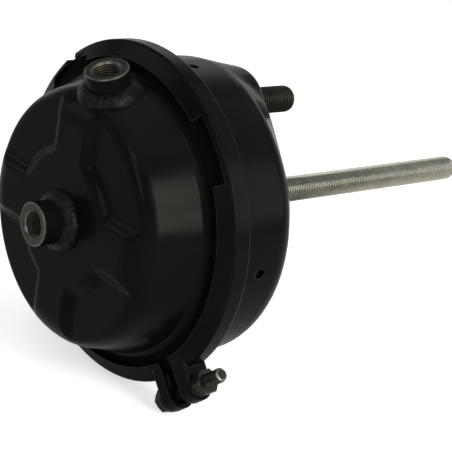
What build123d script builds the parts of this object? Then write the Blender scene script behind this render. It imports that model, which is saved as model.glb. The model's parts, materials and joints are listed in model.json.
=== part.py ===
from build123d import *
import os
from math import acos, atan, atan2, cos, degrees, radians, sin, tan

os.makedirs("parts", exist_ok=True)

# The chamber's axis is X. The mounting face is x = 0, the pushrod points to +X,
# +Z is towards the upper stud and the upper port. All sizes are in millimetres.

# Mounting studs: their spacing sets the housing, and the housing sets the band and the cover
stud_spacing = 120.65
stud_r = 7.95
stud_shank_r = 8.3
stud_length = 36.0
stud_head_flats = 24.0
stud_head_height = 6.0
stud_chamfer = 1.5
stiffener_thickness = 3.0
stiffener_margin = 8.0
stiffener_opening = 10.0

# Sheets and clearances
cover_sheet = 3.0
housing_sheet = 3.0
seat_gap = 0.3
press_gap = 0.02

# Rear housing
band_to_mount = 74.2
shoulder_to_mount = 30.9
pad_waist_r = 54.6
pad_lobe_r = 20.0
pad_draft = 5.7
pad_round = 9.0
shoulder_round = 16.0
vent_r = 3.0
vent_to_band = 25.7
vent_clock = 4.0
vent_count = 4
opening_r = 16.0

# Pressure cover
cover_depth = 47.3
cover_root_drop = 17.9
cover_taper = 10.0
cover_shoulder = 18.0
root_round = 3.0
raised_disc_r = 37.0
arm_width = 26.0
lobe_depth = 4.4
lobe_slope = 45.0
lobe_corner = 9.0
lobe_crown = 6.0
lobe_foot = 6.0

# Air ports
boss_r = 12.25
port_bore_r = 7.19
port_mouth = 1.2
boss_edge = 0.6
centre_boss_height = 17.5
top_boss_height = 13.0
top_boss_to_root = 16.5
top_port_tilt = 21.0
top_port_clock = 2.4
weld_width = 5.2
weld_height = 7.0
weld_crown = 0.8

# Clamp band
band_rise = 10.7
crest_width = 10.5
flank_depth = 9.4
flank_angle = 27.0
band_sheet = 2.5
crest_round = 2.0
rim_gap = 2.0
split_angle = 137.6
notch_span = 24.0
notch_count = 3
notch_rim = 3.3
window_span = 6.0
window_width = 5.0

# Clamp lugs and bolt
lug_gap = 10.0
lug_depth = 9.2
lug_half_width = 8.6
lug_root_drop = 6.7
lug_round = 2.4
bolt_rise = 9.8
bolt_r = 4.0
bolt_play = 0.4
bolt_end = 33.8
bolt_chamfer = 1.0
hex_flats = 13.0
hex_round = 0.9
bolt_head_height = 5.3
nut_height = 6.8
washer_r = 8.0
washer_thickness = 1.6

# Pushrod, its guide and seal
rod_r = 8.3
rod_thread_r = 7.92
rod_thread_start = 1.0
rod_length = 207.0
rod_chamfer = 2.0
rod_spigot_r = 6.0
rod_weld = 5.0
rod_play = 0.08
guide_recess = 0.5
guide_lip = 8.0
guide_flange = 2.5
seal_lip = 6.0
seal_thickness = 3.0

# Diaphragm, push plate and return spring
diaphragm_thickness = 3.0
diaphragm_gap = 2.0
diaphragm_corner = 14.0
bead_depth = 3.3
plate_margin = 10.8
plate_thickness = 3.0
plate_rim = 8.0
plate_round = 5.0
spring_wire_r = 2.4
spring_margin = 14.0
spring_floor_r = 31.0
spring_turns = 5
seat_margin = 3.6
seat_thickness = 2.0
seat_lip = 5.0

# Derived radii, from the studs out to the band and back in to the cover
stud_reach = stud_spacing / 2
housing_r = stud_reach + pad_lobe_r + pad_draft
band_r = housing_r + band_rise
band_inner_r = band_r - flank_depth
flange_r = band_r - band_sheet - rim_gap
cover_root_r = band_r - cover_root_drop
cover_face_r = cover_root_r - cover_taper
lug_root_r = band_r - lug_root_drop
bolt_circle_r = band_r + bolt_rise
bead_inner_r = band_inner_r - bead_depth
plate_r = cover_face_r - plate_margin
spring_plate_r = plate_r - spring_margin
stiffener_hole_r = opening_r + stiffener_opening

# Derived places along the axis
x_band = -band_to_mount
x_face = x_band - cover_depth
x_shoulder = -shoulder_to_mount
x_floor = -housing_sheet
x_stiffener = x_floor - stiffener_thickness
lug_face = lug_gap / 2 + lug_depth


def radial(angle):
    """Unit vector across the axis, at an angle from +Z towards -Y."""
    return Vector(0, -sin(radians(angle)), cos(radians(angle)))


def axial_plane(angle):
    """Plane through the axis: its x runs along the axis and its y at the angle."""
    return Plane((0, 0, 0), x_dir=(1, 0, 0), z_dir=Vector(1, 0, 0).cross(radial(angle)))


def flank_offset(radius, inset):
    """Half width of the band's V at a radius, inside its flank by an inset."""
    outer = crest_width / 2 + (band_r - radius) * tan(radians(flank_angle))
    return outer - inset / cos(radians(flank_angle))


def keep(builder, name):
    """Label a finished piece and write its file."""
    builder.part.label = name
    export_step(builder.part, f"parts/{name}.step")


# Pressure cover: a conical wall from its face to the root of the splayed flange
flange_inset = band_sheet + seat_gap
x_cover_root = x_band - flank_offset(cover_root_r, flange_inset)
wall_slope = (cover_root_r - cover_face_r) / (x_cover_root - x_face)
wall_angle = atan(wall_slope)


def cover_wall_r(x, inset):
    """Radius of the cover's wall at a place along the axis, inside it by an inset."""
    return cover_face_r + wall_slope * (x - x_face) - inset / cos(wall_angle)


def wall_meets_flange(wall_inset, flank_inset):
    """Place along the axis where the cover's wall, inside by an inset, meets its flange's slope."""
    slope = tan(radians(flank_angle))
    axis_r = cover_wall_r(0, wall_inset)
    x_slope_at_axis = x_band - flank_offset(0, flank_inset)
    return (x_slope_at_axis + slope * axis_r) / (1 - slope * wall_slope)


def lobe_prism(x_start, growth):
    """Four quarter pockets between the raised arms, grown sideways by a bend of the sheet."""
    arm = arm_width - 2 * growth
    with BuildPart() as prism:
        with BuildSketch(Plane.YZ.offset(x_start)) as outline:
            Circle(cover_root_r)
            Circle(raised_disc_r - growth, mode=Mode.SUBTRACT)
            Rectangle(arm, 3 * cover_root_r, mode=Mode.SUBTRACT)
            Rectangle(3 * cover_root_r, arm, mode=Mode.SUBTRACT)
            fillet(outline.vertices().sort_by_distance((0, 0, 0))[:8], lobe_corner)
        extrude(amount=lobe_depth, taper=lobe_slope)
    return prism.part


def lobe_bends(form, x_bend):
    """Edges round the sunk lobes at one depth, without the arcs where they run out on the shoulder."""
    level = form.edges().filter_by_position(Axis.X, x_bend - 0.01, x_bend + 0.01)
    arcs = level.filter_by(GeomType.CIRCLE).filter_by(lambda edge: edge.radius < raised_disc_r + lobe_corner)
    return level.filter_by(GeomType.LINE) + arcs


def cover_form(inset, rim_r):
    """Solid form inside the cover's outer surface by an inset, out to a rim at the band's middle."""
    x_start = x_face + inset
    x_root = wall_meets_flange(inset, flange_inset + inset)
    with BuildPart() as form:
        with BuildSketch(Plane.XY):
            with BuildLine():
                Polyline(
                    (x_band, 0),
                    (x_start, 0),
                    (x_start, cover_wall_r(x_start, inset)),
                    (x_root, cover_wall_r(x_root, inset)),
                    (x_band - flank_offset(rim_r, flange_inset + inset), rim_r),
                    (x_band, rim_r),
                    close=True,
                )
            make_face()
        revolve(axis=Axis.X)
        bends = form.edges().filter_by(GeomType.CIRCLE).group_by(Axis.X)
        fillet(bends[0], cover_shoulder - inset)
        bends = form.edges().filter_by(GeomType.CIRCLE).filter_by_position(Axis.X, x_root - 0.1, x_root + 0.1)
        fillet(bends, root_round + inset)
        growth = inset * (1 / cos(radians(lobe_slope)) - tan(radians(lobe_slope)))
        add(lobe_prism(x_start, growth), mode=Mode.SUBTRACT)
        fillet(lobe_bends(form, x_start + lobe_depth), lobe_foot + inset)
        fillet(lobe_bends(form, x_start), lobe_crown - inset)
    return form.part


cover_outer = cover_form(0, flange_r)
cover_hollow = cover_form(cover_sheet, flange_r + seat_gap)


# Air ports: two turned bosses with a chamfered mouth, each in a weld bead
x_top_boss = x_cover_root - top_boss_to_root
top_out = radial(top_port_clock) * cos(radians(top_port_tilt)) - Vector(sin(radians(top_port_tilt)), 0, 0)
top_foot = radial(top_port_clock) * cover_wall_r(x_top_boss, 0) + Vector(x_top_boss, 0, 0)
centre_foot_plane = Plane((x_face, 0, 0), z_dir=(-1, 0, 0))
top_foot_plane = Plane(top_foot, x_dir=top_out.cross(Vector(1, 0, 0)), z_dir=top_out)


def port_boss(foot_plane, height):
    """Turned boss through the cover's wall, flush with the hollow behind it."""
    with BuildPart() as boss:
        with BuildSketch(foot_plane.offset(height)):
            Circle(boss_r)
            Circle(port_bore_r, mode=Mode.SUBTRACT)
        extrude(amount=-(height + 3 * cover_sheet))
        outward = Axis(foot_plane.origin, foot_plane.z_dir)
        chamfer(boss.edges().group_by(outward)[-1].sort_by(SortBy.RADIUS)[0], port_mouth)
        chamfer(boss.edges().group_by(outward)[-1].sort_by(SortBy.RADIUS)[-1], boss_edge)
        add(cover_hollow, mode=Mode.SUBTRACT)
    return boss


def port_weld(foot_plane):
    """Weld bead round a boss, seated on the cover's outer surface."""
    sink = 2 * cover_sheet
    foot_r = boss_r + weld_width * (weld_height + sink) / weld_height
    side_plane = Plane(foot_plane.origin, x_dir=foot_plane.x_dir, z_dir=-foot_plane.y_dir)
    with BuildPart() as bead:
        with BuildSketch(side_plane):
            with BuildLine():
                top = (boss_r + press_gap, weld_height)
                foot = (boss_r + weld_width, 0)
                SagittaArc(foot, top, -weld_crown)
                Polyline(top, (boss_r + press_gap, -sink), (foot_r, -sink), foot)
            make_face()
        revolve(axis=Axis(foot_plane.origin, foot_plane.z_dir))
        add(cover_outer, mode=Mode.SUBTRACT)
    return bead


with BuildPart() as pressure_cover:
    add(cover_outer)
    add(cover_hollow, mode=Mode.SUBTRACT)
    for foot_plane in (centre_foot_plane, top_foot_plane):
        with BuildSketch(foot_plane.offset(top_boss_height)):
            Circle(boss_r + press_gap)
        extrude(amount=-(top_boss_height + 3 * cover_sheet), mode=Mode.SUBTRACT)
keep(pressure_cover, "pressure_cover")

keep(port_boss(centre_foot_plane, centre_boss_height), "centre_port_boss")
keep(port_boss(top_foot_plane, top_boss_height), "top_port_boss")
keep(port_weld(centre_foot_plane), "centre_port_weld")
keep(port_weld(top_foot_plane), "top_port_weld")


# Clamp band: a V channel round both flanges, with relief notches and two hollow lugs
lug_plane = Plane((x_band, 0, 0), x_dir=(-1, 0, 0), z_dir=radial(split_angle - 90))


def lug_form(side, inset):
    """Round-ended lug with a rounded bolt face, inside its surface by an inset."""
    half_width = lug_half_width - inset
    with BuildPart() as form:
        with BuildSketch(lug_plane.offset(side * lug_gap / 2)):
            with Locations((0, (lug_root_r + bolt_circle_r) / 2)):
                Rectangle(2 * half_width, bolt_circle_r - lug_root_r)
            with Locations((0, bolt_circle_r)):
                Circle(half_width)
        extrude(amount=side * (lug_depth - inset))
        if inset < lug_round:
            bolt_face = form.faces().sort_by(Axis(lug_plane.origin, side * lug_plane.z_dir))[-1]
            fillet(bolt_face.edges(), lug_round - inset)
    return form.part


def band_form(inner_r, outer_r, inset):
    """Ring with the band's sloped flanks, inside its outer surface by an inset."""
    with BuildPart() as form:
        with BuildSketch(Plane.XY):
            with BuildLine():
                Polyline(
                    (x_band - flank_offset(inner_r, inset), inner_r),
                    (x_band - flank_offset(outer_r, inset), outer_r),
                    (x_band + flank_offset(outer_r, inset), outer_r),
                    (x_band + flank_offset(inner_r, inset), inner_r),
                    close=True,
                )
            make_face()
        revolve(axis=Axis.X)
    return form.part


with BuildPart() as clamp_band:
    add(band_form(band_inner_r, band_r, 0))
    crest = clamp_band.edges().filter_by(GeomType.CIRCLE).filter_by(lambda edge: edge.radius > band_r - 0.1)
    fillet(crest, crest_round)
    for side in (-1, 1):
        add(lug_form(side, 0))
        add(lug_form(side, band_sheet), mode=Mode.SUBTRACT)
    add(band_form(housing_r, band_r - band_sheet, band_sheet), mode=Mode.SUBTRACT)
    with BuildSketch(lug_plane.offset(-lug_gap / 2)):
        with Locations((0, band_r)):
            Rectangle(4 * lug_half_width, 3 * (band_r - band_inner_r))
    extrude(amount=lug_gap, mode=Mode.SUBTRACT)
    with BuildSketch(lug_plane.offset(-lug_face)):
        with Locations((0, bolt_circle_r)):
            Circle(bolt_r + bolt_play)
    extrude(amount=2 * lug_face, mode=Mode.SUBTRACT)
    for index in range(notch_count):
        notch_angle = split_angle - 90 * (index + 1)
        with BuildSketch(axial_plane(notch_angle - notch_span / 2)):
            with Locations((x_band, band_inner_r)):
                Rectangle(4 * lug_half_width, 2 * (band_r - notch_rim - band_inner_r))
        revolve(axis=Axis.X, revolution_arc=notch_span, mode=Mode.SUBTRACT)
    with BuildSketch(axial_plane(split_angle - 180 - window_span / 2)):
        with Locations((x_band - crest_width / 2, band_r)):
            Rectangle(2 * window_width, 3 * band_sheet)
    revolve(axis=Axis.X, revolution_arc=window_span, mode=Mode.SUBTRACT)
keep(clamp_band, "clamp_band")


def hexagon(plane, flats, height):
    """Hexagon with rounded corners on both faces, standing on a plane."""
    with BuildPart() as block:
        with BuildSketch(plane):
            RegularPolygon(flats / 2, 6, major_radius=False)
        extrude(amount=height)
        with BuildSketch(plane):
            Circle(flats / 2 / cos(radians(30)))
        corner_disc = extrude(amount=height, mode=Mode.PRIVATE)
        rims = corner_disc.edges().filter_by(GeomType.CIRCLE)
        add(corner_disc.chamfer(hex_round / 2, hex_round, rims), mode=Mode.INTERSECT)
    return block.part


# Clamp bolt, with its head and washer on the far lug and its nut on the near one
bolt_centre = lug_plane.from_local_coords((0, bolt_circle_r, 0))
bolt_plane = Plane(bolt_centre, x_dir=lug_plane.x_dir, z_dir=lug_plane.z_dir)

with BuildPart() as clamp_bolt:
    head_seat = -lug_face - washer_thickness
    add(hexagon(bolt_plane.offset(head_seat - bolt_head_height), hex_flats, bolt_head_height))
    with BuildSketch(bolt_plane.offset(head_seat)):
        Circle(bolt_r)
    extrude(amount=lug_face + washer_thickness + bolt_end)
    chamfer(clamp_bolt.edges().group_by(Axis(bolt_plane.origin, bolt_plane.z_dir))[-1], bolt_chamfer)
keep(clamp_bolt, "clamp_bolt")

with BuildPart() as clamp_washer:
    with BuildSketch(bolt_plane.offset(-lug_face)):
        Circle(washer_r)
        Circle(bolt_r + bolt_play, mode=Mode.SUBTRACT)
    extrude(amount=-washer_thickness)
keep(clamp_washer, "clamp_washer")

with BuildPart() as clamp_nut:
    add(hexagon(bolt_plane.offset(lug_face), hex_flats, nut_height))
    with BuildSketch(bolt_plane.offset(lug_face)):
        Circle(bolt_r + press_gap)
    extrude(amount=nut_height, mode=Mode.SUBTRACT)
keep(clamp_nut, "clamp_nut")


# Rear housing: a round cup drawn into a lozenge at its mounting face
def lozenge(waist, lobe):
    """Outline of two stud lobes and a waist joined by their common tangents."""
    turn = degrees(acos((waist - lobe) / stud_reach))
    with BuildSketch() as outline:
        with BuildLine():
            for middle in (90, 270):
                side = sin(radians(middle))
                CenterArc((0, side * stud_reach), lobe, middle - turn, 2 * turn)
                CenterArc((0, 0), waist, middle + turn, 180 - 2 * turn)
                for edge_angle in (middle - turn, middle + turn):
                    out = Vector(cos(radians(edge_angle)), sin(radians(edge_angle)))
                    Line(out * lobe + Vector(0, side * stud_reach), out * waist)
        make_face()
    return outline.sketch


def split_circle(radius, waist, lobe):
    """Circle cut into the same number of stretches as the lozenge."""
    turn = degrees(acos((waist - lobe) / stud_reach))
    lobe_end = degrees(atan2(lobe * sin(radians(turn)), stud_reach + lobe * cos(radians(turn))))
    with BuildSketch() as outline:
        with BuildLine():
            for middle in (90, 270):
                CenterArc((0, 0), radius, middle - lobe_end, 2 * lobe_end)
                CenterArc((0, 0), radius, middle + lobe_end, turn - lobe_end)
                CenterArc((0, 0), radius, middle + turn, 180 - 2 * turn)
                CenterArc((0, 0), radius, middle - turn, turn - lobe_end)
        make_face()
    return outline.sketch


def housing_form(inset):
    """Solid form inside the housing's outer surface by an inset, behind its flange."""
    waist = pad_waist_r - inset
    lobe = pad_lobe_r - inset
    x_root = x_band + flank_offset(housing_r, flange_inset + inset)
    with BuildPart() as form:
        with BuildSketch(Plane.YZ.offset(x_shoulder)):
            add(split_circle(housing_r - inset, waist, lobe))
        with BuildSketch(Plane.YZ.offset(-inset)):
            add(lozenge(waist, lobe))
        loft()
        with BuildSketch(Plane.YZ.offset(x_root)):
            add(split_circle(housing_r - inset, waist, lobe))
        extrude(amount=x_shoulder - x_root)
        shoulder = form.edges().filter_by_position(Axis.X, x_shoulder - 0.01, x_shoulder + 0.01)
        fillet(shoulder, shoulder_round - inset)
        fillet(form.edges().group_by(Axis.X)[-1], pad_round - inset)
    return form.part


with BuildPart() as rear_housing:
    add(housing_form(0))
    with BuildSketch(Plane.XY):
        with BuildLine():
            inner_r = housing_r - housing_sheet
            back = flange_inset + housing_sheet
            Polyline(
                (x_band + flank_offset(inner_r, flange_inset), inner_r),
                (x_band + flank_offset(flange_r, flange_inset), flange_r),
                (x_band + flank_offset(flange_r, back), flange_r),
                (x_band + flank_offset(inner_r, back), inner_r),
                close=True,
            )
        make_face()
    revolve(axis=Axis.X)
    add(housing_form(housing_sheet), mode=Mode.SUBTRACT)
    with BuildSketch(Plane.YZ):
        Circle(opening_r)
        with Locations((0, stud_reach), (0, -stud_reach)):
            Circle(stud_shank_r + press_gap)
    extrude(amount=-2 * housing_sheet, mode=Mode.SUBTRACT)
    for index in range(vent_count):
        vent_out = radial(vent_clock + 360 * index / vent_count)
        with BuildSketch(Plane((x_band + vent_to_band, 0, 0), x_dir=(1, 0, 0), z_dir=vent_out)):
            Circle(vent_r)
        extrude(amount=housing_r + housing_sheet, mode=Mode.SUBTRACT)
keep(rear_housing, "rear_housing")

with BuildPart() as stiffener_plate:
    with BuildSketch(Plane.YZ.offset(x_floor)):
        add(lozenge(pad_waist_r - stiffener_margin - housing_sheet, pad_lobe_r - stiffener_margin))
        Circle(stiffener_hole_r, mode=Mode.SUBTRACT)
        with Locations((0, stud_reach), (0, -stud_reach)):
            Circle(stud_shank_r + press_gap, mode=Mode.SUBTRACT)
    extrude(amount=-stiffener_thickness)
keep(stiffener_plate, "stiffener_plate")

for name, side in (("upper_stud", 1), ("lower_stud", -1)):
    stud_plane = Plane((0, 0, side * stud_reach), x_dir=(0, 1, 0), z_dir=(1, 0, 0))
    with BuildPart() as stud:
        add(hexagon(stud_plane.offset(x_stiffener - stud_head_height), stud_head_flats, stud_head_height))
        with BuildSketch(stud_plane):
            Circle(stud_shank_r)
        extrude(amount=x_stiffener)
        with BuildSketch(stud_plane):
            Circle(stud_r)
        extrude(amount=stud_length)
        chamfer(stud.edges().group_by(Axis.X)[-1], stud_chamfer)
    keep(stud, name)


# Diaphragm: a moulded cup inside the cover, with a wedge bead between the two flanges
x_diaphragm = x_face + lobe_depth + cover_sheet + diaphragm_gap
outer_skin = cover_sheet + diaphragm_gap
inner_skin = outer_skin + diaphragm_thickness
bead_inset = flange_inset + seat_gap
bead_r = flange_r - seat_gap
x_wall_end = wall_meets_flange(outer_skin, bead_inset + cover_sheet)

with BuildPart() as diaphragm:
    with BuildSketch(Plane.XY):
        with BuildLine():
            Polyline(
                (x_diaphragm, 0),
                (x_diaphragm, cover_wall_r(x_diaphragm, outer_skin)),
                (x_wall_end, cover_wall_r(x_wall_end, outer_skin)),
                (x_band - flank_offset(bead_r, bead_inset + cover_sheet), bead_r),
                (x_band + flank_offset(bead_r, bead_inset + housing_sheet), bead_r),
                (x_band + flank_offset(bead_inner_r, bead_inset + housing_sheet), bead_inner_r),
                (x_band, cover_wall_r(x_band, inner_skin)),
                (x_diaphragm + diaphragm_thickness, cover_wall_r(x_diaphragm, inner_skin)),
                (x_diaphragm + diaphragm_thickness, 0),
                close=True,
            )
        make_face()
    revolve(axis=Axis.X)
    corner = diaphragm.edges().filter_by(GeomType.CIRCLE).group_by(Axis.X)[0]
    fillet(corner, diaphragm_corner)
keep(diaphragm, "diaphragm")


# Push plate, and the pushrod riveted and welded into it
x_plate = x_diaphragm + diaphragm_thickness + seat_gap
x_plate_back = x_plate + plate_thickness

with BuildPart() as push_plate:
    with BuildSketch(Plane.XY):
        with BuildLine():
            Polyline(
                (x_plate, rod_spigot_r + press_gap),
                (x_plate, plate_r),
                (x_plate + plate_rim, plate_r),
                (x_plate + plate_rim, plate_r - plate_thickness),
                (x_plate_back, plate_r - plate_thickness),
                (x_plate_back, rod_spigot_r + press_gap),
                close=True,
            )
        make_face()
    revolve(axis=Axis.X)
    outer_rim = push_plate.edges().filter_by(GeomType.CIRCLE).group_by(Axis.X)[0].sort_by(SortBy.RADIUS)[-1]
    fillet(outer_rim, plate_round)
keep(push_plate, "push_plate")

with BuildPart() as pushrod:
    with BuildSketch(Plane.YZ.offset(x_plate)):
        Circle(rod_spigot_r)
    extrude(amount=plate_thickness)
    with BuildSketch(Plane.YZ.offset(x_plate_back)):
        Circle(rod_r)
    extrude(amount=rod_thread_start - x_plate_back)
    with BuildSketch(Plane.YZ.offset(rod_thread_start)):
        Circle(rod_thread_r)
    extrude(amount=rod_length - rod_thread_start)
    chamfer(pushrod.edges().group_by(Axis.X)[-1], rod_chamfer)
keep(pushrod, "pushrod")

with BuildPart() as pushrod_weld:
    with BuildSketch(Plane.XY):
        with BuildLine():
            Polyline(
                (x_plate_back, rod_r + press_gap),
                (x_plate_back, rod_r + rod_weld),
                (x_plate_back + rod_weld, rod_r + press_gap),
                close=True,
            )
        make_face()
    revolve(axis=Axis.X)
keep(pushrod_weld, "pushrod_weld")


# Guide ring, dust seal and spring seat on the housing's floor
def ring(x_start, thickness, inner_r, outer_r):
    """Flat ring round the axis, from a place towards the cover."""
    with BuildPart() as washer:
        with BuildSketch(Plane.YZ.offset(x_start)):
            Circle(outer_r)
            Circle(inner_r, mode=Mode.SUBTRACT)
        extrude(amount=-thickness)
    return washer.part


x_seal = x_floor - guide_flange
x_seat = x_stiffener - seat_thickness
seat_r = spring_floor_r + spring_wire_r + seat_margin

with BuildPart() as rod_guide:
    add(ring(-guide_recess, housing_sheet, rod_r + rod_play, opening_r - press_gap))
    add(ring(x_floor, guide_flange, rod_r + rod_play, opening_r + guide_lip))
keep(rod_guide, "rod_guide")

with BuildPart() as rod_seal:
    add(ring(x_seal, seal_thickness, rod_r + rod_play, opening_r + seal_lip))
keep(rod_seal, "rod_seal")

with BuildPart() as spring_seat:
    add(ring(x_stiffener, seat_thickness, stiffener_hole_r, seat_r))
    add(ring(x_stiffener, seat_lip, stiffener_hole_r, stiffener_hole_r + seat_thickness))
keep(spring_seat, "spring_seat")


# Return spring: a cone of round wire from the plate to its seat
x_spring_start = x_plate_back + seat_gap + spring_wire_r
spring_height = x_seat - seat_gap - spring_wire_r - x_spring_start
spring_cone = degrees(atan((spring_floor_r - spring_plate_r) / spring_height))

with BuildPart() as return_spring:
    with BuildLine():
        coil = Helix(
            spring_height / spring_turns,
            spring_height,
            spring_plate_r,
            center=(x_spring_start, 0, 0),
            direction=(1, 0, 0),
            cone_angle=spring_cone,
        )
    with BuildSketch(Plane(coil @ 0, z_dir=coil % 0)):
        Circle(spring_wire_r)
    sweep(path=coil, is_frenet=True)
keep(return_spring, "return_spring")
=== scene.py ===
import json
import math

import bmesh
import bpy
from mathutils import Matrix, Vector
from mathutils.bvhtree import BVHTree


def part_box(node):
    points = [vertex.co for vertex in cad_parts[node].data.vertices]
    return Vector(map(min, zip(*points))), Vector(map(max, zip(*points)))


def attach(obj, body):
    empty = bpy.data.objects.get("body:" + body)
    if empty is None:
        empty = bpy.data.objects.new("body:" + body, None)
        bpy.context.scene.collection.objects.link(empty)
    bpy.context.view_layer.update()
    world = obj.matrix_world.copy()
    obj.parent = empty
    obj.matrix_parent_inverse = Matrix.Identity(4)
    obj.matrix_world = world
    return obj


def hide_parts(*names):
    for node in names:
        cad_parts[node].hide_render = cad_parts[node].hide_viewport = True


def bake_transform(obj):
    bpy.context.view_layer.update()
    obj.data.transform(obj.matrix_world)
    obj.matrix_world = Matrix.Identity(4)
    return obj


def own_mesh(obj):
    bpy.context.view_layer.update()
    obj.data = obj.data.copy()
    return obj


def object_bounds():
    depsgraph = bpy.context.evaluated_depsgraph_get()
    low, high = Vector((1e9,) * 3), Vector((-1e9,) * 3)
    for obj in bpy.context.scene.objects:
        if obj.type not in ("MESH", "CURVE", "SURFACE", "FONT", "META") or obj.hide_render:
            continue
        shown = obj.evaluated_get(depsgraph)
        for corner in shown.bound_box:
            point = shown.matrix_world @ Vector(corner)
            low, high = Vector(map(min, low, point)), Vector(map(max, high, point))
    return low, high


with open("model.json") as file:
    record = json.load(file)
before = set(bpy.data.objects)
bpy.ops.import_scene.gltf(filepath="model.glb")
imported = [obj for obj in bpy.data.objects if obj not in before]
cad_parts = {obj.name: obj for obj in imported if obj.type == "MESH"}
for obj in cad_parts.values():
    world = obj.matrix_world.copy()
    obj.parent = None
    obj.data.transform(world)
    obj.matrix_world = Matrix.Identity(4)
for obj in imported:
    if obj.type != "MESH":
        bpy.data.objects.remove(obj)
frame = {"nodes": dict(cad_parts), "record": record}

cad_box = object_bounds()
nodes = frame["nodes"]
scene = bpy.context.scene
MM = 0.001


# Node materials
MAP_RANGE = ("From Min", "From Max", "To Min", "To Max")
MIX_SOCKETS = {"RGBA": (6, 7, 2), "FLOAT": (2, 3, 0)}  # first input, second input, result


class Shader:
    """A node material built step by step, in the object's own metres."""

    def __init__(self, name):
        self.mat = bpy.data.materials.new(name)
        self.mat.use_nodes = True
        self.tree = self.mat.node_tree
        self.tree.nodes.clear()
        out = self.add("ShaderNodeOutputMaterial")
        self.bsdf = self.add("ShaderNodeBsdfPrincipled")
        self.tree.links.new(self.bsdf.outputs[0], out.inputs["Surface"])
        self.pos = self.add("ShaderNodeTexCoord").outputs["Object"]

    def add(self, kind, **settings):
        node = self.tree.nodes.new(kind)
        for key, value in settings.items():
            setattr(node, key, value)
        return node

    def link(self, source, target):
        if isinstance(source, (int, float, tuple)):
            target.default_value = source
        else:
            self.tree.links.new(source, target)

    def math(self, operation, a, b=0.0):
        node = self.add("ShaderNodeMath", operation=operation)
        self.link(a, node.inputs[0])
        self.link(b, node.inputs[1])
        return node.outputs[0]

    def vector(self, operation, a, b=(0.0, 0.0, 0.0)):
        node = self.add("ShaderNodeVectorMath", operation=operation)
        self.link(a, node.inputs[0])
        self.link(b, node.inputs[1])
        gives_number = operation in ("DOT_PRODUCT", "LENGTH")
        return node.outputs["Value"] if gives_number else node.outputs["Vector"]

    def noise(self, scale, detail, rough, stretch=None):
        where = self.vector("MULTIPLY", self.pos, stretch) if stretch else self.pos
        node = self.add("ShaderNodeTexNoise")
        self.link(where, node.inputs["Vector"])
        node.inputs["Scale"].default_value = scale
        node.inputs["Detail"].default_value = detail
        node.inputs["Roughness"].default_value = rough
        return node.outputs["Fac"]

    def span(self, value, low, high, to_low=0.0, to_high=1.0):
        """Value between two limits, stretched and clamped to another range."""
        node = self.add("ShaderNodeMapRange", clamp=True)
        self.link(value, node.inputs["Value"])
        for key, number in zip(MAP_RANGE, (low, high, to_low, to_high)):
            node.inputs[key].default_value = number
        return node.outputs["Result"]

    def mixed(self, data_type, factor, first, second):
        first_in, second_in, result = MIX_SOCKETS[data_type]
        node = self.add("ShaderNodeMix", data_type=data_type)
        self.link(factor, node.inputs[0])
        self.link(first, node.inputs[first_in])
        self.link(second, node.inputs[second_in])
        return node.outputs[result]

    def mix(self, factor, first, second):
        """Colour between two colours."""
        return self.mixed("RGBA", factor, first, second)

    def blend(self, factor, first, second):
        """Value between two values."""
        return self.mixed("FLOAT", factor, first, second)

    def bump(self, height, strength, distance, normal=None):
        node = self.add("ShaderNodeBump")
        self.link(height, node.inputs["Height"])
        node.inputs["Strength"].default_value = strength
        node.inputs["Distance"].default_value = distance
        if normal is not None:
            self.link(normal, node.inputs["Normal"])
        return node.outputs[0]

    def soft_edges(self, radius):
        """Normal that rounds sharp edges by a radius."""
        node = self.add("ShaderNodeBevel", samples=4)
        node.inputs["Radius"].default_value = radius
        return node.outputs[0]

    def across(self, foot, out):
        """Distance along an axis and radius from it."""
        local = self.vector("SUBTRACT", self.pos, tuple(foot))
        along = self.vector("DOT_PRODUCT", local, tuple(out))
        axial = self.add("ShaderNodeVectorMath", operation="SCALE")
        axial.inputs[0].default_value = tuple(out)
        self.link(along, axial.inputs["Scale"])
        return along, self.vector("LENGTH", self.vector("SUBTRACT", local, axial.outputs[0]))

    def set(self, **values):
        names = {
            "color": "Base Color", "metal": "Metallic", "rough": "Roughness", "normal": "Normal",
            "gloss": "Specular IOR Level",
        }
        for key, value in values.items():
            self.link(value, self.bsdf.inputs[names[key]])
        return self


PAINT_GLOSS = 0.033
PAINT_DARK = (0.0024, 0.0024, 0.0023, 1)
PAINT_LIGHT = (0.0039, 0.0038, 0.0037, 1)
PAINT_DUST = (0.10, 0.095, 0.088, 1)
PAINT_EDGE_WEAR_AND_SHEEN = (0.050, 0.048, 0.043, 1)
EDGE_R = 0.8 * MM
# radii over which the cover's paint darkens into painted shade in the groove under the band
GROOVE_SHADE_START_R, GROOVE_SHADE_FULL_R = 80.5 * MM, 82.2 * MM


def paint_layers(s):
    """Colour, roughness and normal of the black paint, whose lighter edges are partly wear and partly a
    painted highlight.
    """
    cloud = s.noise(18.0, 4.0, 0.6)
    color = s.mix(s.span(cloud, 0.35, 0.7), PAINT_DARK, PAINT_LIGHT)
    dust = s.span(s.noise(2600.0, 2.0, 0.7), 0.72, 0.80, 0.0, 0.04)
    color = s.mix(dust, color, PAINT_DUST)
    rough = s.span(cloud, 0.3, 0.75, 0.19, 0.27)
    rounded = s.soft_edges(EDGE_R)
    facing = s.vector("DOT_PRODUCT", rounded, s.add("ShaderNodeNewGeometry").outputs["Normal"])
    # lighter edges: partly paint worn off, partly a painted highlight where the edges catch light
    patchy = s.span(s.noise(70.0, 3.0, 0.6), 0.3, 0.6, 0.25, 0.8)
    edge_wear_and_sheen = s.math("MULTIPLY", s.span(facing, 0.985, 0.90), patchy)
    color = s.mix(edge_wear_and_sheen, color, PAINT_EDGE_WEAR_AND_SHEEN)
    peel = s.bump(s.noise(160.0, 2.0, 0.5), 0.05, 0.0004, rounded)
    normal = s.bump(s.noise(900.0, 2.0, 0.5), 0.04, 0.0002, peel)
    return color, rough, normal


def black_paint(name):
    s = Shader(name)
    color, rough, normal = paint_layers(s)
    return s.set(color=color, rough=rough, normal=normal, gloss=PAINT_GLOSS).mat


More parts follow.
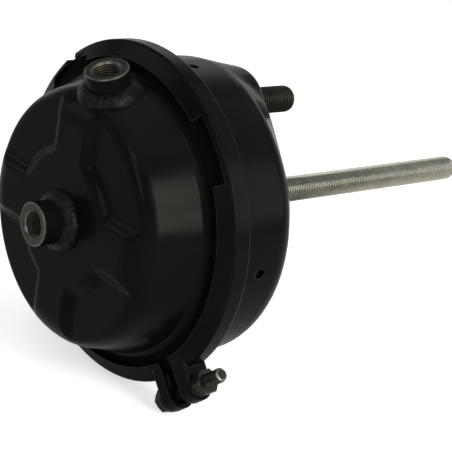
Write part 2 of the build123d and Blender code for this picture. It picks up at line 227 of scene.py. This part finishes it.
def bead_paint(name):
    """The same paint over the ridges and spatter of a weld."""
    s = Shader(name)
    color, rough, normal = paint_layers(s)
    ridges = s.bump(s.noise(170.0, 3.0, 0.6, (1.0, 1.0, 1.6)), 0.55, 0.0016, normal)
    color = s.mix(s.span(s.noise(240.0, 2.0, 0.5), 0.4, 0.7), color, (0.0090, 0.0088, 0.0082, 1))
    return s.set(color=color, rough=0.34, normal=ridges, gloss=0.07).mat


def cover_paint(name):
    """Black paint with painted shade down in the groove under the band, where it is darker and rough."""
    s = Shader(name)
    color, rough, normal = paint_layers(s)
    _, radius = s.across((0, 0, 0), (1, 0, 0))
    # painted shade: the paint darkens to near black from the first radius to the second
    groove_shade = s.span(radius, GROOVE_SHADE_START_R, GROOVE_SHADE_FULL_R)
    color = s.mix(groove_shade, color, (0.0016, 0.0015, 0.0014, 1))
    rough = s.blend(groove_shade, rough, 0.9)
    return s.set(color=color, rough=rough, normal=normal, gloss=PAINT_GLOSS).mat


def dark_steel(name, dull, bright):
    """Blackened steel, stained between a dull and a bright colour."""
    s = Shader(name)
    stain = s.noise(120.0, 4.0, 0.65)
    color = s.mix(s.span(stain, 0.3, 0.7), dull, bright)
    rough = s.span(stain, 0.3, 0.7, 0.30, 0.46)
    normal = s.bump(s.noise(1500.0, 2.0, 0.6), 0.12, 0.0002, s.soft_edges(0.0003))
    return s.set(color=color, metal=0.75, rough=rough, normal=normal, gloss=0.15).mat


def zinc(name, root_r=0.0, crest_r=0.0):
    """Zinc plate, darkened down in the thread roots of a rod on the x axis: painted shade."""
    s = Shader(name)
    stain = s.noise(90.0, 4.0, 0.65)
    color = s.mix(s.span(stain, 0.3, 0.7), (0.50, 0.495, 0.43, 1), (0.58, 0.575, 0.50, 1))
    if crest_r:
        _, radius = s.across((0, 0, 0), (1, 0, 0))
        # painted shade: darker from the thread's crest down to its root
        color = s.mix(s.span(radius, root_r, crest_r), (0.060, 0.057, 0.044, 1), color)
    rough = s.span(stain, 0.3, 0.7, 0.23, 0.30)
    normal = s.bump(s.noise(1800.0, 2.0, 0.6), 0.03, 0.0002)
    return s.set(color=color, metal=1.0, rough=rough, normal=normal).mat


WEAVE = 1.2 * MM


def rubber(name):
    """Matt rubber with the print of its fabric."""
    s = Shader(name)
    mottle = s.noise(220.0, 4.0, 0.6)
    split = s.add("ShaderNodeSeparateXYZ")
    s.link(s.pos, split.inputs[0])
    color = s.mix(s.span(mottle, 0.3, 0.7), (0.010, 0.010, 0.010, 1), (0.024, 0.023, 0.022, 1))
    rough = s.span(mottle, 0.3, 0.7, 0.55, 0.75)
    thread_y, thread_z = (
        s.math("SINE", s.math("MULTIPLY", split.outputs[axis], 2 * math.pi / WEAVE)) for axis in ("Y", "Z")
    )
    weave = s.bump(s.math("MULTIPLY", thread_y, thread_z), 0.15, 0.0001)
    return s.set(color=color, rough=rough, normal=s.bump(mottle, 0.2, 0.0003, weave)).mat


def plastic(name):
    """Dark moulded plastic with a fine grain."""
    s = Shader(name)
    mottle = s.noise(300.0, 3.0, 0.5)
    color = s.mix(s.span(mottle, 0.3, 0.7), (0.020, 0.020, 0.021, 1), (0.034, 0.034, 0.036, 1))
    rough = s.span(mottle, 0.3, 0.7, 0.38, 0.52)
    return s.set(color=color, rough=rough, normal=s.bump(mottle, 0.1, 0.0002)).mat


TOOL_FEED = 0.4 * MM


def boss_steel(name, foot, out, height, boss_r):
    """Painted outside, with a bare turned end face and a bare threaded bore.

    Lengths along the axis are taken down from the end face, and radii in from the outside.
    """
    s = Shader(name)
    along, radius = s.across(foot, out)
    face = s.math("GREATER_THAN", along, height - 0.4 * MM)
    bore = s.math("LESS_THAN", radius, boss_r - 3.0 * MM)
    bare = s.math("MAXIMUM", bore, face)
    shallow = s.span(along, height - 12 * MM, height - 1 * MM)
    paint_color, paint_rough, paint_normal = paint_layers(s)
    stain = s.noise(160.0, 4.0, 0.6)
    steel = s.mix(s.span(stain, 0.35, 0.7), (0.032, 0.031, 0.026, 1), (0.050, 0.048, 0.041, 1))
    rim = s.span(radius, boss_r - 1.3 * MM, boss_r - 0.6 * MM)
    lip = s.span(radius, boss_r - 3.7 * MM, boss_r - 4.4 * MM)
    steel = s.mix(s.math("MAXIMUM", rim, lip), steel, (0.115, 0.110, 0.098, 1))
    # painted shade: below the mouth the thread roots are darkened almost to black
    below_mouth = s.math("LESS_THAN", along, height - 1.6 * MM)
    groove_shade = s.math("MULTIPLY", s.span(radius, boss_r - 4.9 * MM, boss_r - 4.4 * MM), below_mouth)
    steel = s.mix(shallow, (0.045, 0.037, 0.028, 1), steel)
    steel = s.mix(groove_shade, steel, (0.010, 0.008, 0.006, 1))
    tool_marks = s.math("SINE", s.math("MULTIPLY", radius, 2 * math.pi / TOOL_FEED))
    normal = s.bump(s.math("MULTIPLY", tool_marks, bare), 0.10, 0.00005, paint_normal)
    color = s.mix(bare, paint_color, steel)
    rough = s.blend(bare, paint_rough, s.span(stain, 0.3, 0.7, 0.30, 0.44))
    return s.set(color=color, metal=bare, rough=rough, normal=normal, gloss=PAINT_GLOSS).mat


def bolt_steel(name, origin, out, end):
    """Dark bolt with a light, worn rim round its end face."""
    s = Shader(name)
    along, radius = s.across(origin, out)
    near_end = s.span(along, end - 0.9 * MM, end - 0.5 * MM)
    rim = s.math("MULTIPLY", near_end, s.span(radius, 2.5 * MM, 2.9 * MM))
    stain = s.noise(140.0, 4.0, 0.65)
    color = s.mix(s.span(stain, 0.3, 0.7), (0.013, 0.0127, 0.0115, 1), (0.028, 0.0275, 0.0250, 1))
    color = s.mix(rim, color, (0.16, 0.15, 0.13, 1))
    rough = s.span(stain, 0.3, 0.7, 0.28, 0.44)
    normal = s.bump(s.noise(1500.0, 2.0, 0.6), 0.12, 0.0002, s.soft_edges(0.0003))
    return s.set(color=color, metal=0.75, rough=rough, normal=normal, gloss=0.15).mat


paint = black_paint("black_paint")
dark = dark_steel("dark_steel", (0.014, 0.0137, 0.0125, 1), (0.030, 0.0295, 0.0265, 1))
coated = dark_steel("spring_steel", (0.020, 0.020, 0.021, 1), (0.036, 0.036, 0.038, 1))
silver = zinc("zinc_steel")
rod_silver = zinc("rod_zinc_steel", root_r=7.12 * MM, crest_r=7.85 * MM)
soft = rubber("rubber")
nylon = plastic("guide_plastic")

for mat, names in (
    (paint, ("rear_housing", "clamp_band")),
    (cover_paint("cover_paint"), ("pressure_cover",)),
    (dark, ("clamp_washer", "clamp_nut")),
    (silver, ("push_plate", "pushrod_weld", "spring_seat", "stiffener_plate")),
    (coated, ("return_spring",)),
    (soft, ("diaphragm", "rod_seal")),
    (nylon, ("rod_guide",)),
):
    for name in names:
        nodes[name].data.materials.clear()
        nodes[name].data.materials.append(mat)


def shape_copy(name, replaced):
    """A copy of a CAD node's mesh, shown in place of the node."""
    piece = bpy.data.objects.new(name, nodes[replaced].data.copy())
    piece.matrix_world = nodes[replaced].matrix_world
    scene.collection.objects.link(piece)
    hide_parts(replaced)
    return piece


wound = shape_copy("return_spring_wound", "return_spring")
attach(wound, "chamber")
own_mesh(wound)

moulded = shape_copy("diaphragm_moulded", "diaphragm")
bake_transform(moulded)


# Turned and threaded pieces, built from rings of points round an axis, in millimetres
STEPS = 48
SHARP = math.radians(32)
HEX_CHAMFER = 0.9


def circle(along, radius):
    return [(along, radius)] * (STEPS + 1)


def hexagon(along, flats, limit):
    """Ring of a hexagon whose corners are cut at a limit."""
    ring = []
    for step in range(STEPS + 1):
        angle = math.radians((360 * step / STEPS) % 60 - 30)
        ring.append((along, min(flats / 2 / math.cos(angle), limit)))
    return ring


def hex_head(start, end, flats):
    """Rings of a hexagon head whose corners are chamfered at both ends."""
    corner = flats / math.sqrt(3)
    cut = corner - HEX_CHAMFER
    return [
        hexagon(start, flats, cut), hexagon(start + HEX_CHAMFER / 2, flats, corner),
        hexagon(end - HEX_CHAMFER / 2, flats, corner), hexagon(end, flats, cut),
    ]


def thread(start, end, pitch, crest, root, limit):
    """Rings that follow a screw thread; limit(along, radius) trims it at its ends."""
    # share of the pitch, and the radius there
    profile = ((0.0, crest), (0.125, crest), (0.4375, root), (0.6875, root), (1.0, crest))

    def radius_at(phase):
        for (low, r_low), (high, r_high) in zip(profile, profile[1:]):
            if phase <= high:
                return r_low + (r_high - r_low) * (phase - low) / (high - low)

    rings = []
    for turn in range(-1, math.ceil((end - start) / pitch) + 1):
        for phase, _ in profile[:-1]:
            ring = []
            for step in range(STEPS + 1):
                share = step / STEPS
                along = min(max(start + pitch * (turn + phase + share), start), end)
                ring.append((along, limit(along, radius_at(((along - start) / pitch - share) % 1))))
            rings.append(ring)
    return rings


def turned(name, rings, origin, out, mat, body, replaced):
    """A closed piece from rings of (along, radius) in millimetres round an axis."""
    out = Vector(out).normalized()
    side = out.orthogonal().normalized()
    other = out.cross(side)
    steps = len(rings[0]) - 1
    verts = []
    for ring in rings:
        for step, (along, radius) in enumerate(ring):
            angle = 2 * math.pi * step / steps
            offset = side * math.cos(angle) + other * math.sin(angle)
            verts.append(Vector(origin) + (out * along + offset * radius) * MM)
    width = steps + 1
    faces = []
    for row in range(len(rings) - 1):
        for step in range(steps):
            corner = row * width + step
            faces.append((corner, corner + 1, corner + width + 1, corner + width))
    mesh = bpy.data.meshes.new(name)
    mesh.from_pydata(verts, [], faces)
    shape = bmesh.new()
    shape.from_mesh(mesh)
    bmesh.ops.remove_doubles(shape, verts=shape.verts, dist=1e-6)
    bmesh.ops.recalc_face_normals(shape, faces=shape.faces)
    shape.to_mesh(mesh)
    shape.free()
    mesh.shade_smooth()
    mesh.set_sharp_from_angle(angle=SHARP)
    piece = bpy.data.objects.new(name, mesh)
    piece.data.materials.append(mat)
    scene.collection.objects.link(piece)
    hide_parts(replaced)
    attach(piece, body)


def end_trim(end, drop, radius, shrink=0.42):
    """Limit that rounds a thread off over its last stretch."""
    def limit(along, r):
        reach = max(0.0, along - (end - drop)) / drop
        return min(r, radius * (1 - shrink * (1 - math.sqrt(max(0.0, 1 - reach * reach)))))
    return limit


# Sizes in millimetres; most repeat part.py's, and the threads' pitches, roots and ends are added here
M16_PITCH = 1.5
SHANK_R = 8.3
SPIGOT_R, SPIGOT_LENGTH = 6, 3
ROD_THREAD_START, ROD_END = 1, 207
ROD_CREST_R, ROD_ROOT_R = 7.92, 7.05
STUD_TOP, STUD_SEAT, STUD_END = -12, -6, 36
STUD_CREST_R, STUD_ROOT_R = 7.95, 7.2
STUD_FLATS = 24
STUD_OFFSET = 60.325
BAND_X = -74.2
BOLT_OFFSET = 106.525
SPLIT = math.radians(137.6)
M8_PITCH = 1.25
BOLT_TOP, BOLT_SEAT, BOLT_THREAD_START, BOLT_END = -21.1, -15.8, 3, 33.8
BOLT_R, BOLT_CREST_R, BOLT_ROOT_R = 4, 3.98, 3.35
BOLT_FLATS = 13

# Pushrod
rod_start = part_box("pushrod")[0].x / MM
plate_side = rod_start + SPIGOT_LENGTH
rod_trim = end_trim(ROD_END, 6.5, ROD_CREST_R, shrink=0.62)
rod_rings = [
    circle(rod_start, 0), circle(rod_start, SPIGOT_R), circle(plate_side, SPIGOT_R),
    circle(plate_side, SHANK_R), circle(ROD_THREAD_START, SHANK_R),
    *thread(ROD_THREAD_START, ROD_END, M16_PITCH, ROD_CREST_R, ROD_ROOT_R, rod_trim),
    circle(ROD_END, 0),
]
turned("pushrod_threaded", rod_rings, (0, 0, 0), (1, 0, 0), rod_silver, "rod", "pushrod")

# Mounting studs
stud_trim = end_trim(STUD_END, 4.5, STUD_CREST_R)
stud_rings = [
    circle(STUD_TOP, 0), *hex_head(STUD_TOP, STUD_SEAT, STUD_FLATS),
    circle(STUD_SEAT, SHANK_R), circle(0, SHANK_R),
    *thread(0, STUD_END, M16_PITCH, STUD_CREST_R, STUD_ROOT_R, stud_trim),
    circle(STUD_END, 0),
]
stud_mat = dark_steel("stud_steel", (0.016, 0.0155, 0.0135, 1), (0.034, 0.033, 0.029, 1))
for name, side in (("upper_stud", 1), ("lower_stud", -1)):
    place = (0, 0, side * STUD_OFFSET * MM)
    turned(name + "_threaded", stud_rings, place, (1, 0, 0), stud_mat, "chamber", name)

# Clamp bolt
bolt_out = Vector((0, -math.sin(SPLIT - math.pi / 2), math.cos(SPLIT - math.pi / 2)))
bolt_at = Vector((BAND_X, -BOLT_OFFSET * math.sin(SPLIT), BOLT_OFFSET * math.cos(SPLIT))) * MM
bolt_trim = end_trim(BOLT_END, 1.4, BOLT_CREST_R)
bolt_rings = [
    circle(BOLT_TOP, 0), *hex_head(BOLT_TOP, BOLT_SEAT, BOLT_FLATS),
    circle(BOLT_SEAT, BOLT_R), circle(BOLT_THREAD_START, BOLT_R),
    *thread(BOLT_THREAD_START, BOLT_END, M8_PITCH, BOLT_CREST_R, BOLT_ROOT_R, bolt_trim),
    circle(BOLT_END, 0),
]
bolt_mat = bolt_steel("bolt_steel", bolt_at, bolt_out, BOLT_END * MM)
turned("clamp_bolt_threaded", bolt_rings, bolt_at, bolt_out, bolt_mat, "chamber", "clamp_bolt")

# Port bosses and their weld beads, in millimetres
CENTRE_FOOT_X = -121.5
TOP_PORT_RISE = 5  # from the foot of the top boss to its mount
BOSS_R = 12.25
BORE_R = 7.19
BORE_ROOT_R = 8.0
MOUTH = 1.4
EDGE = 0.6
BEAD_R = 12.27
BEAD_STEPS = 192
BEAD_POINTS = 9
RIPPLES = 24
RIPPLE_HEIGHT = 0.10
SUNK = 0.6  # how far a bead reaches into the cover
CLEAR = 25  # how far above a boss's foot the rays that find the cover start

cover_mesh = nodes["pressure_cover"].data
cover_tree = BVHTree.FromPolygons(
    [vert.co for vert in cover_mesh.vertices], [tuple(face.vertices) for face in cover_mesh.polygons]
)


def port_boss(name, foot, out, height, depth):
    """Boss with a chamfered mouth and a thread through its bore."""
    def mouth(along, r):
        return max(r, BORE_R + MOUTH - (height - along))

    mat = boss_steel(name + "_steel", foot, out, height * MM, BOSS_R * MM)
    rings = [
        circle(-depth, BOSS_R), circle(height - EDGE, BOSS_R), circle(height, BOSS_R - EDGE),
        circle(height, BORE_R + MOUTH),
        *reversed(thread(-depth, height, M16_PITCH, BORE_R, BORE_ROOT_R, mouth)),
        circle(-depth, BOSS_R),
    ]
    turned(name + "_cut", rings, foot, out, mat, "chamber", name)


def weld_bead(name, foot, out, width, crown, seed):
    """Lumpy, finely rippled bead whose foot follows the cover, found along the boss's axis."""
    out = Vector(out).normalized()
    side = out.orthogonal().normalized()
    other = out.cross(side)
    rows = [[] for _ in range(BEAD_POINTS + 3)]
    for step in range(BEAD_STEPS + 1):
        turn = 2 * math.pi * (step % BEAD_STEPS) / BEAD_STEPS
        lump = 0.5 * math.sin(3 * turn + seed) + 0.3 * math.sin(7 * turn + 2 * seed)
        wave = (RIPPLES * turn / (2 * math.pi) + 0.25 * math.sin(4 * turn + seed)) % 1
        ripple = 1 - (2 * wave - 1) ** 2
        foot_r = BEAD_R + width + 0.35 * lump + RIPPLE_HEIGHT * ripple
        offset = side * math.cos(turn) + other * math.sin(turn)
        start = Vector(foot) + (offset * foot_r + out * CLEAR) * MM
        hit = cover_tree.ray_cast(start, -out)[0]
        base = (hit - Vector(foot)).dot(out) / MM
        top = crown + 0.4 * lump + RIPPLE_HEIGHT * ripple
        # 0 makes the section a straight slope and 1 a quarter of an ellipse
        full = 0.78 + 0.06 * ripple + 0.10 * math.sin(2 * turn + seed)
        rows[0].append((base - SUNK, BEAD_R))
        rows[1].append((base - SUNK, foot_r))
        for index in range(BEAD_POINTS):
            share = index / (BEAD_POINTS - 1)
            bend = math.pi / 2 * share
            line_r = foot_r + (BEAD_R - foot_r) * share
            line_z = base + (top - base) * share
            round_r = BEAD_R + (foot_r - BEAD_R) * math.cos(bend)
            round_z = base + (top - base) * math.sin(bend)
            rows[2 + index].append((line_z + (round_z - line_z) * full, line_r + (round_r - line_r) * full))
        rows[-1].append((base - SUNK, BEAD_R))
    turned(name + "_rippled", rows, foot, out, bead_mat, "chamber", name)


bead_mat = bead_paint("bead_paint")
centre_foot = Vector((CENTRE_FOOT_X, 0, 0)) * MM
centre_out = Vector((-1, 0, 0))
port = next(mount for mount in frame["record"]["mounts"] if mount["name"] == "top_port")
top_out = Vector(port["axis"]).normalized()
top_foot = Vector(port["pos_m"]) - TOP_PORT_RISE * MM * top_out
port_boss("centre_port_boss", centre_foot, centre_out, height=17.5, depth=3.0)
port_boss("top_port_boss", top_foot, top_out, height=13.0, depth=5.0)
weld_bead("centre_port_weld", centre_foot, centre_out, width=5.2, crown=6.4, seed=0.7)
weld_bead("top_port_weld", top_foot, top_out, width=5.6, crown=4.2, seed=2.1)


# Camera, solved from the photograph
PHOTO_PX = 452.0
FOCAL_PX = 1400.0
CAMERA_PLACE = Vector((-0.55094, -0.56783, 0.28007))
CAMERA_VIEW = Vector((0.65395, 0.66939, -0.35252))
CAMERA_RIGHT = Vector((0.74755, -0.64336, 0.16513))

view = CAMERA_VIEW.normalized()
right = (CAMERA_RIGHT - view * CAMERA_RIGHT.dot(view)).normalized()
up = right.cross(view)
cam_data = bpy.data.cameras.new("camera")
cam_data.sensor_width = 36.0
cam_data.lens = FOCAL_PX / PHOTO_PX * cam_data.sensor_width
camera = bpy.data.objects.new("camera", cam_data)
turn = Matrix((right, up, -view)).transposed()
camera.matrix_world = Matrix.Translation(CAMERA_PLACE) @ turn.to_4x4()
scene.collection.objects.link(camera)
scene.camera = camera
scene.view_settings.view_transform = "Standard"

# Floor
FLOOR_HALF = 20.0
FLOOR_GAP = 0.5 * MM
FLOOR_GREY = (0.62, 0.62, 0.62, 1)
FLOOR_LIFT = 0.60
GLOSSY_LIFT = 0.14

corners = [(x * FLOOR_HALF, y * FLOOR_HALF, 0) for x, y in ((-1, -1), (1, -1), (1, 1), (-1, 1))]
floor_mesh = bpy.data.meshes.new("floor")
floor_mesh.from_pydata(corners, [], [(0, 1, 2, 3)])
floor = bpy.data.objects.new("floor", floor_mesh)
floor.location = (0, 0, cad_box[0].z - FLOOR_GAP)
scene.collection.objects.link(floor)


def seen_rays(tree):
    """1 where a camera, glossy or transmission ray sees the background."""
    path = tree.nodes.new("ShaderNodeLightPath")
    seen = path.outputs["Is Camera Ray"]
    for key in ("Is Glossy Ray", "Is Transmission Ray"):
        either = tree.nodes.new("ShaderNodeMath")
        either.operation = "MAXIMUM"
        tree.links.new(seen, either.inputs[0])
        tree.links.new(path.outputs[key], either.inputs[1])
        seen = either.outputs[0]
    return seen


def floor_material():
    """Grey for light, lifted to white for the camera and a little for reflections."""
    mat = bpy.data.materials.new("floor")
    mat.use_nodes = True
    tree = mat.node_tree
    tree.nodes.clear()
    out = tree.nodes.new("ShaderNodeOutputMaterial")
    diffuse = tree.nodes.new("ShaderNodeBsdfDiffuse")
    diffuse.inputs["Color"].default_value = FLOOR_GREY
    glow = tree.nodes.new("ShaderNodeEmission")
    glow.inputs["Color"].default_value = (1, 1, 1, 1)
    lift = tree.nodes.new("ShaderNodeMapRange")
    lift.inputs["To Min"].default_value = GLOSSY_LIFT
    lift.inputs["To Max"].default_value = FLOOR_LIFT
    tree.links.new(tree.nodes.new("ShaderNodeLightPath").outputs["Is Camera Ray"], lift.inputs["Value"])
    shown = tree.nodes.new("ShaderNodeMath")
    shown.operation = "MULTIPLY"
    tree.links.new(seen_rays(tree), shown.inputs[0])
    tree.links.new(lift.outputs["Result"], shown.inputs[1])
    tree.links.new(shown.outputs[0], glow.inputs["Strength"])
    both = tree.nodes.new("ShaderNodeAddShader")
    tree.links.new(diffuse.outputs[0], both.inputs[0])
    tree.links.new(glow.outputs[0], both.inputs[1])
    tree.links.new(both.outputs[0], out.inputs["Surface"])
    return mat


floor.data.materials.append(floor_material())

# World and lamps
WORLD_LIGHT = 0.30
WORLD_HIGH = 0.25
HORIZON_TOP, OVERHEAD = 0.02, 0.28


def studio_world():
    """White round the horizon, dimmer overhead, and a plain level for diffuse light."""
    world = bpy.data.worlds.new("studio")
    scene.world = world
    world.use_nodes = True
    tree = world.node_tree
    tree.nodes.clear()
    out = tree.nodes.new("ShaderNodeOutputWorld")
    seen = tree.nodes.new("ShaderNodeBackground")
    lit = tree.nodes.new("ShaderNodeBackground")
    seen.inputs["Color"].default_value = (1, 1, 1, 1)
    lit.inputs["Color"].default_value = (1, 1, 1, 1)
    lit.inputs["Strength"].default_value = WORLD_LIGHT
    split_up = tree.nodes.new("ShaderNodeSeparateXYZ")
    tree.links.new(tree.nodes.new("ShaderNodeTexCoord").outputs["Generated"], split_up.inputs[0])
    fade = tree.nodes.new("ShaderNodeMapRange")
    fade.interpolation_type = "SMOOTHSTEP"
    for key, number in zip(MAP_RANGE, (HORIZON_TOP, OVERHEAD, 1.0, WORLD_HIGH)):
        fade.inputs[key].default_value = number
    tree.links.new(split_up.outputs[2], fade.inputs["Value"])
    camera_ray = tree.nodes.new("ShaderNodeLightPath").outputs["Is Camera Ray"]
    strength = tree.nodes.new("ShaderNodeMath")
    strength.operation = "MAXIMUM"
    tree.links.new(camera_ray, strength.inputs[0])
    tree.links.new(fade.outputs["Result"], strength.inputs[1])
    tree.links.new(strength.outputs[0], seen.inputs["Strength"])
    pick = tree.nodes.new("ShaderNodeMixShader")
    tree.links.new(seen_rays(tree), pick.inputs[0])
    tree.links.new(lit.outputs[0], pick.inputs[1])
    tree.links.new(seen.outputs[0], pick.inputs[2])
    tree.links.new(pick.outputs[0], out.inputs["Surface"])


studio_world()


def area_light(name, place, aim, width, height, watts, color=(1, 1, 1)):
    """Softbox that the camera doesn't see, turned towards a point."""
    data = bpy.data.lights.new(name, "AREA")
    data.color = color
    data.shape = "RECTANGLE"
    data.size = width
    data.size_y = height
    data.energy = watts
    lamp = bpy.data.objects.new(name, data)
    lamp.location = place
    lamp.rotation_mode = "QUATERNION"
    lamp.rotation_quaternion = (Vector(aim) - Vector(place)).to_track_quat("-Z", "Y")
    lamp.visible_camera = False
    scene.collection.objects.link(lamp)


WARM = (1, 0.93, 0.82)
BODY = (-0.06, 0, 0.02)
MOUNT = (0, 0, 0)
# The key is three softboxes that together make the tall highlight on the cover's wall
area_light("key_softbox", (-0.05, -1.12, 0.75), BODY, 0.46, 0.50, 9.4, WARM)
area_light("key_low", (-0.05, -1.30, 0.335), BODY, 0.46, 0.36, 6.5, WARM)
area_light("key_halo", (-0.05, -1.36, 0.78), BODY, 0.66, 1.3, 5, WARM)
area_light("shoulder_softbox", (-1.26, -0.49, 1.04), MOUNT, 0.45, 1.3, 7.5)
area_light("back_softbox", (1.10, -0.22, 1.20), MOUNT, 1.2, 0.5, 1.2)
area_light("rim_softbox", (1.02, 0.97, 0.75), MOUNT, 0.7, 0.5, 1.1)
area_light("side_softbox", (-1.0, 1.0, 0.58), MOUNT, 0.7, 0.6, 2.0)
area_light("rear_softbox", (1.0, -1.1, 0.55), MOUNT, 0.9, 0.9, 7)
area_light("overhead_softbox", (0.0, 0.0, 1.5), MOUNT, 1.6, 1.6, 7)
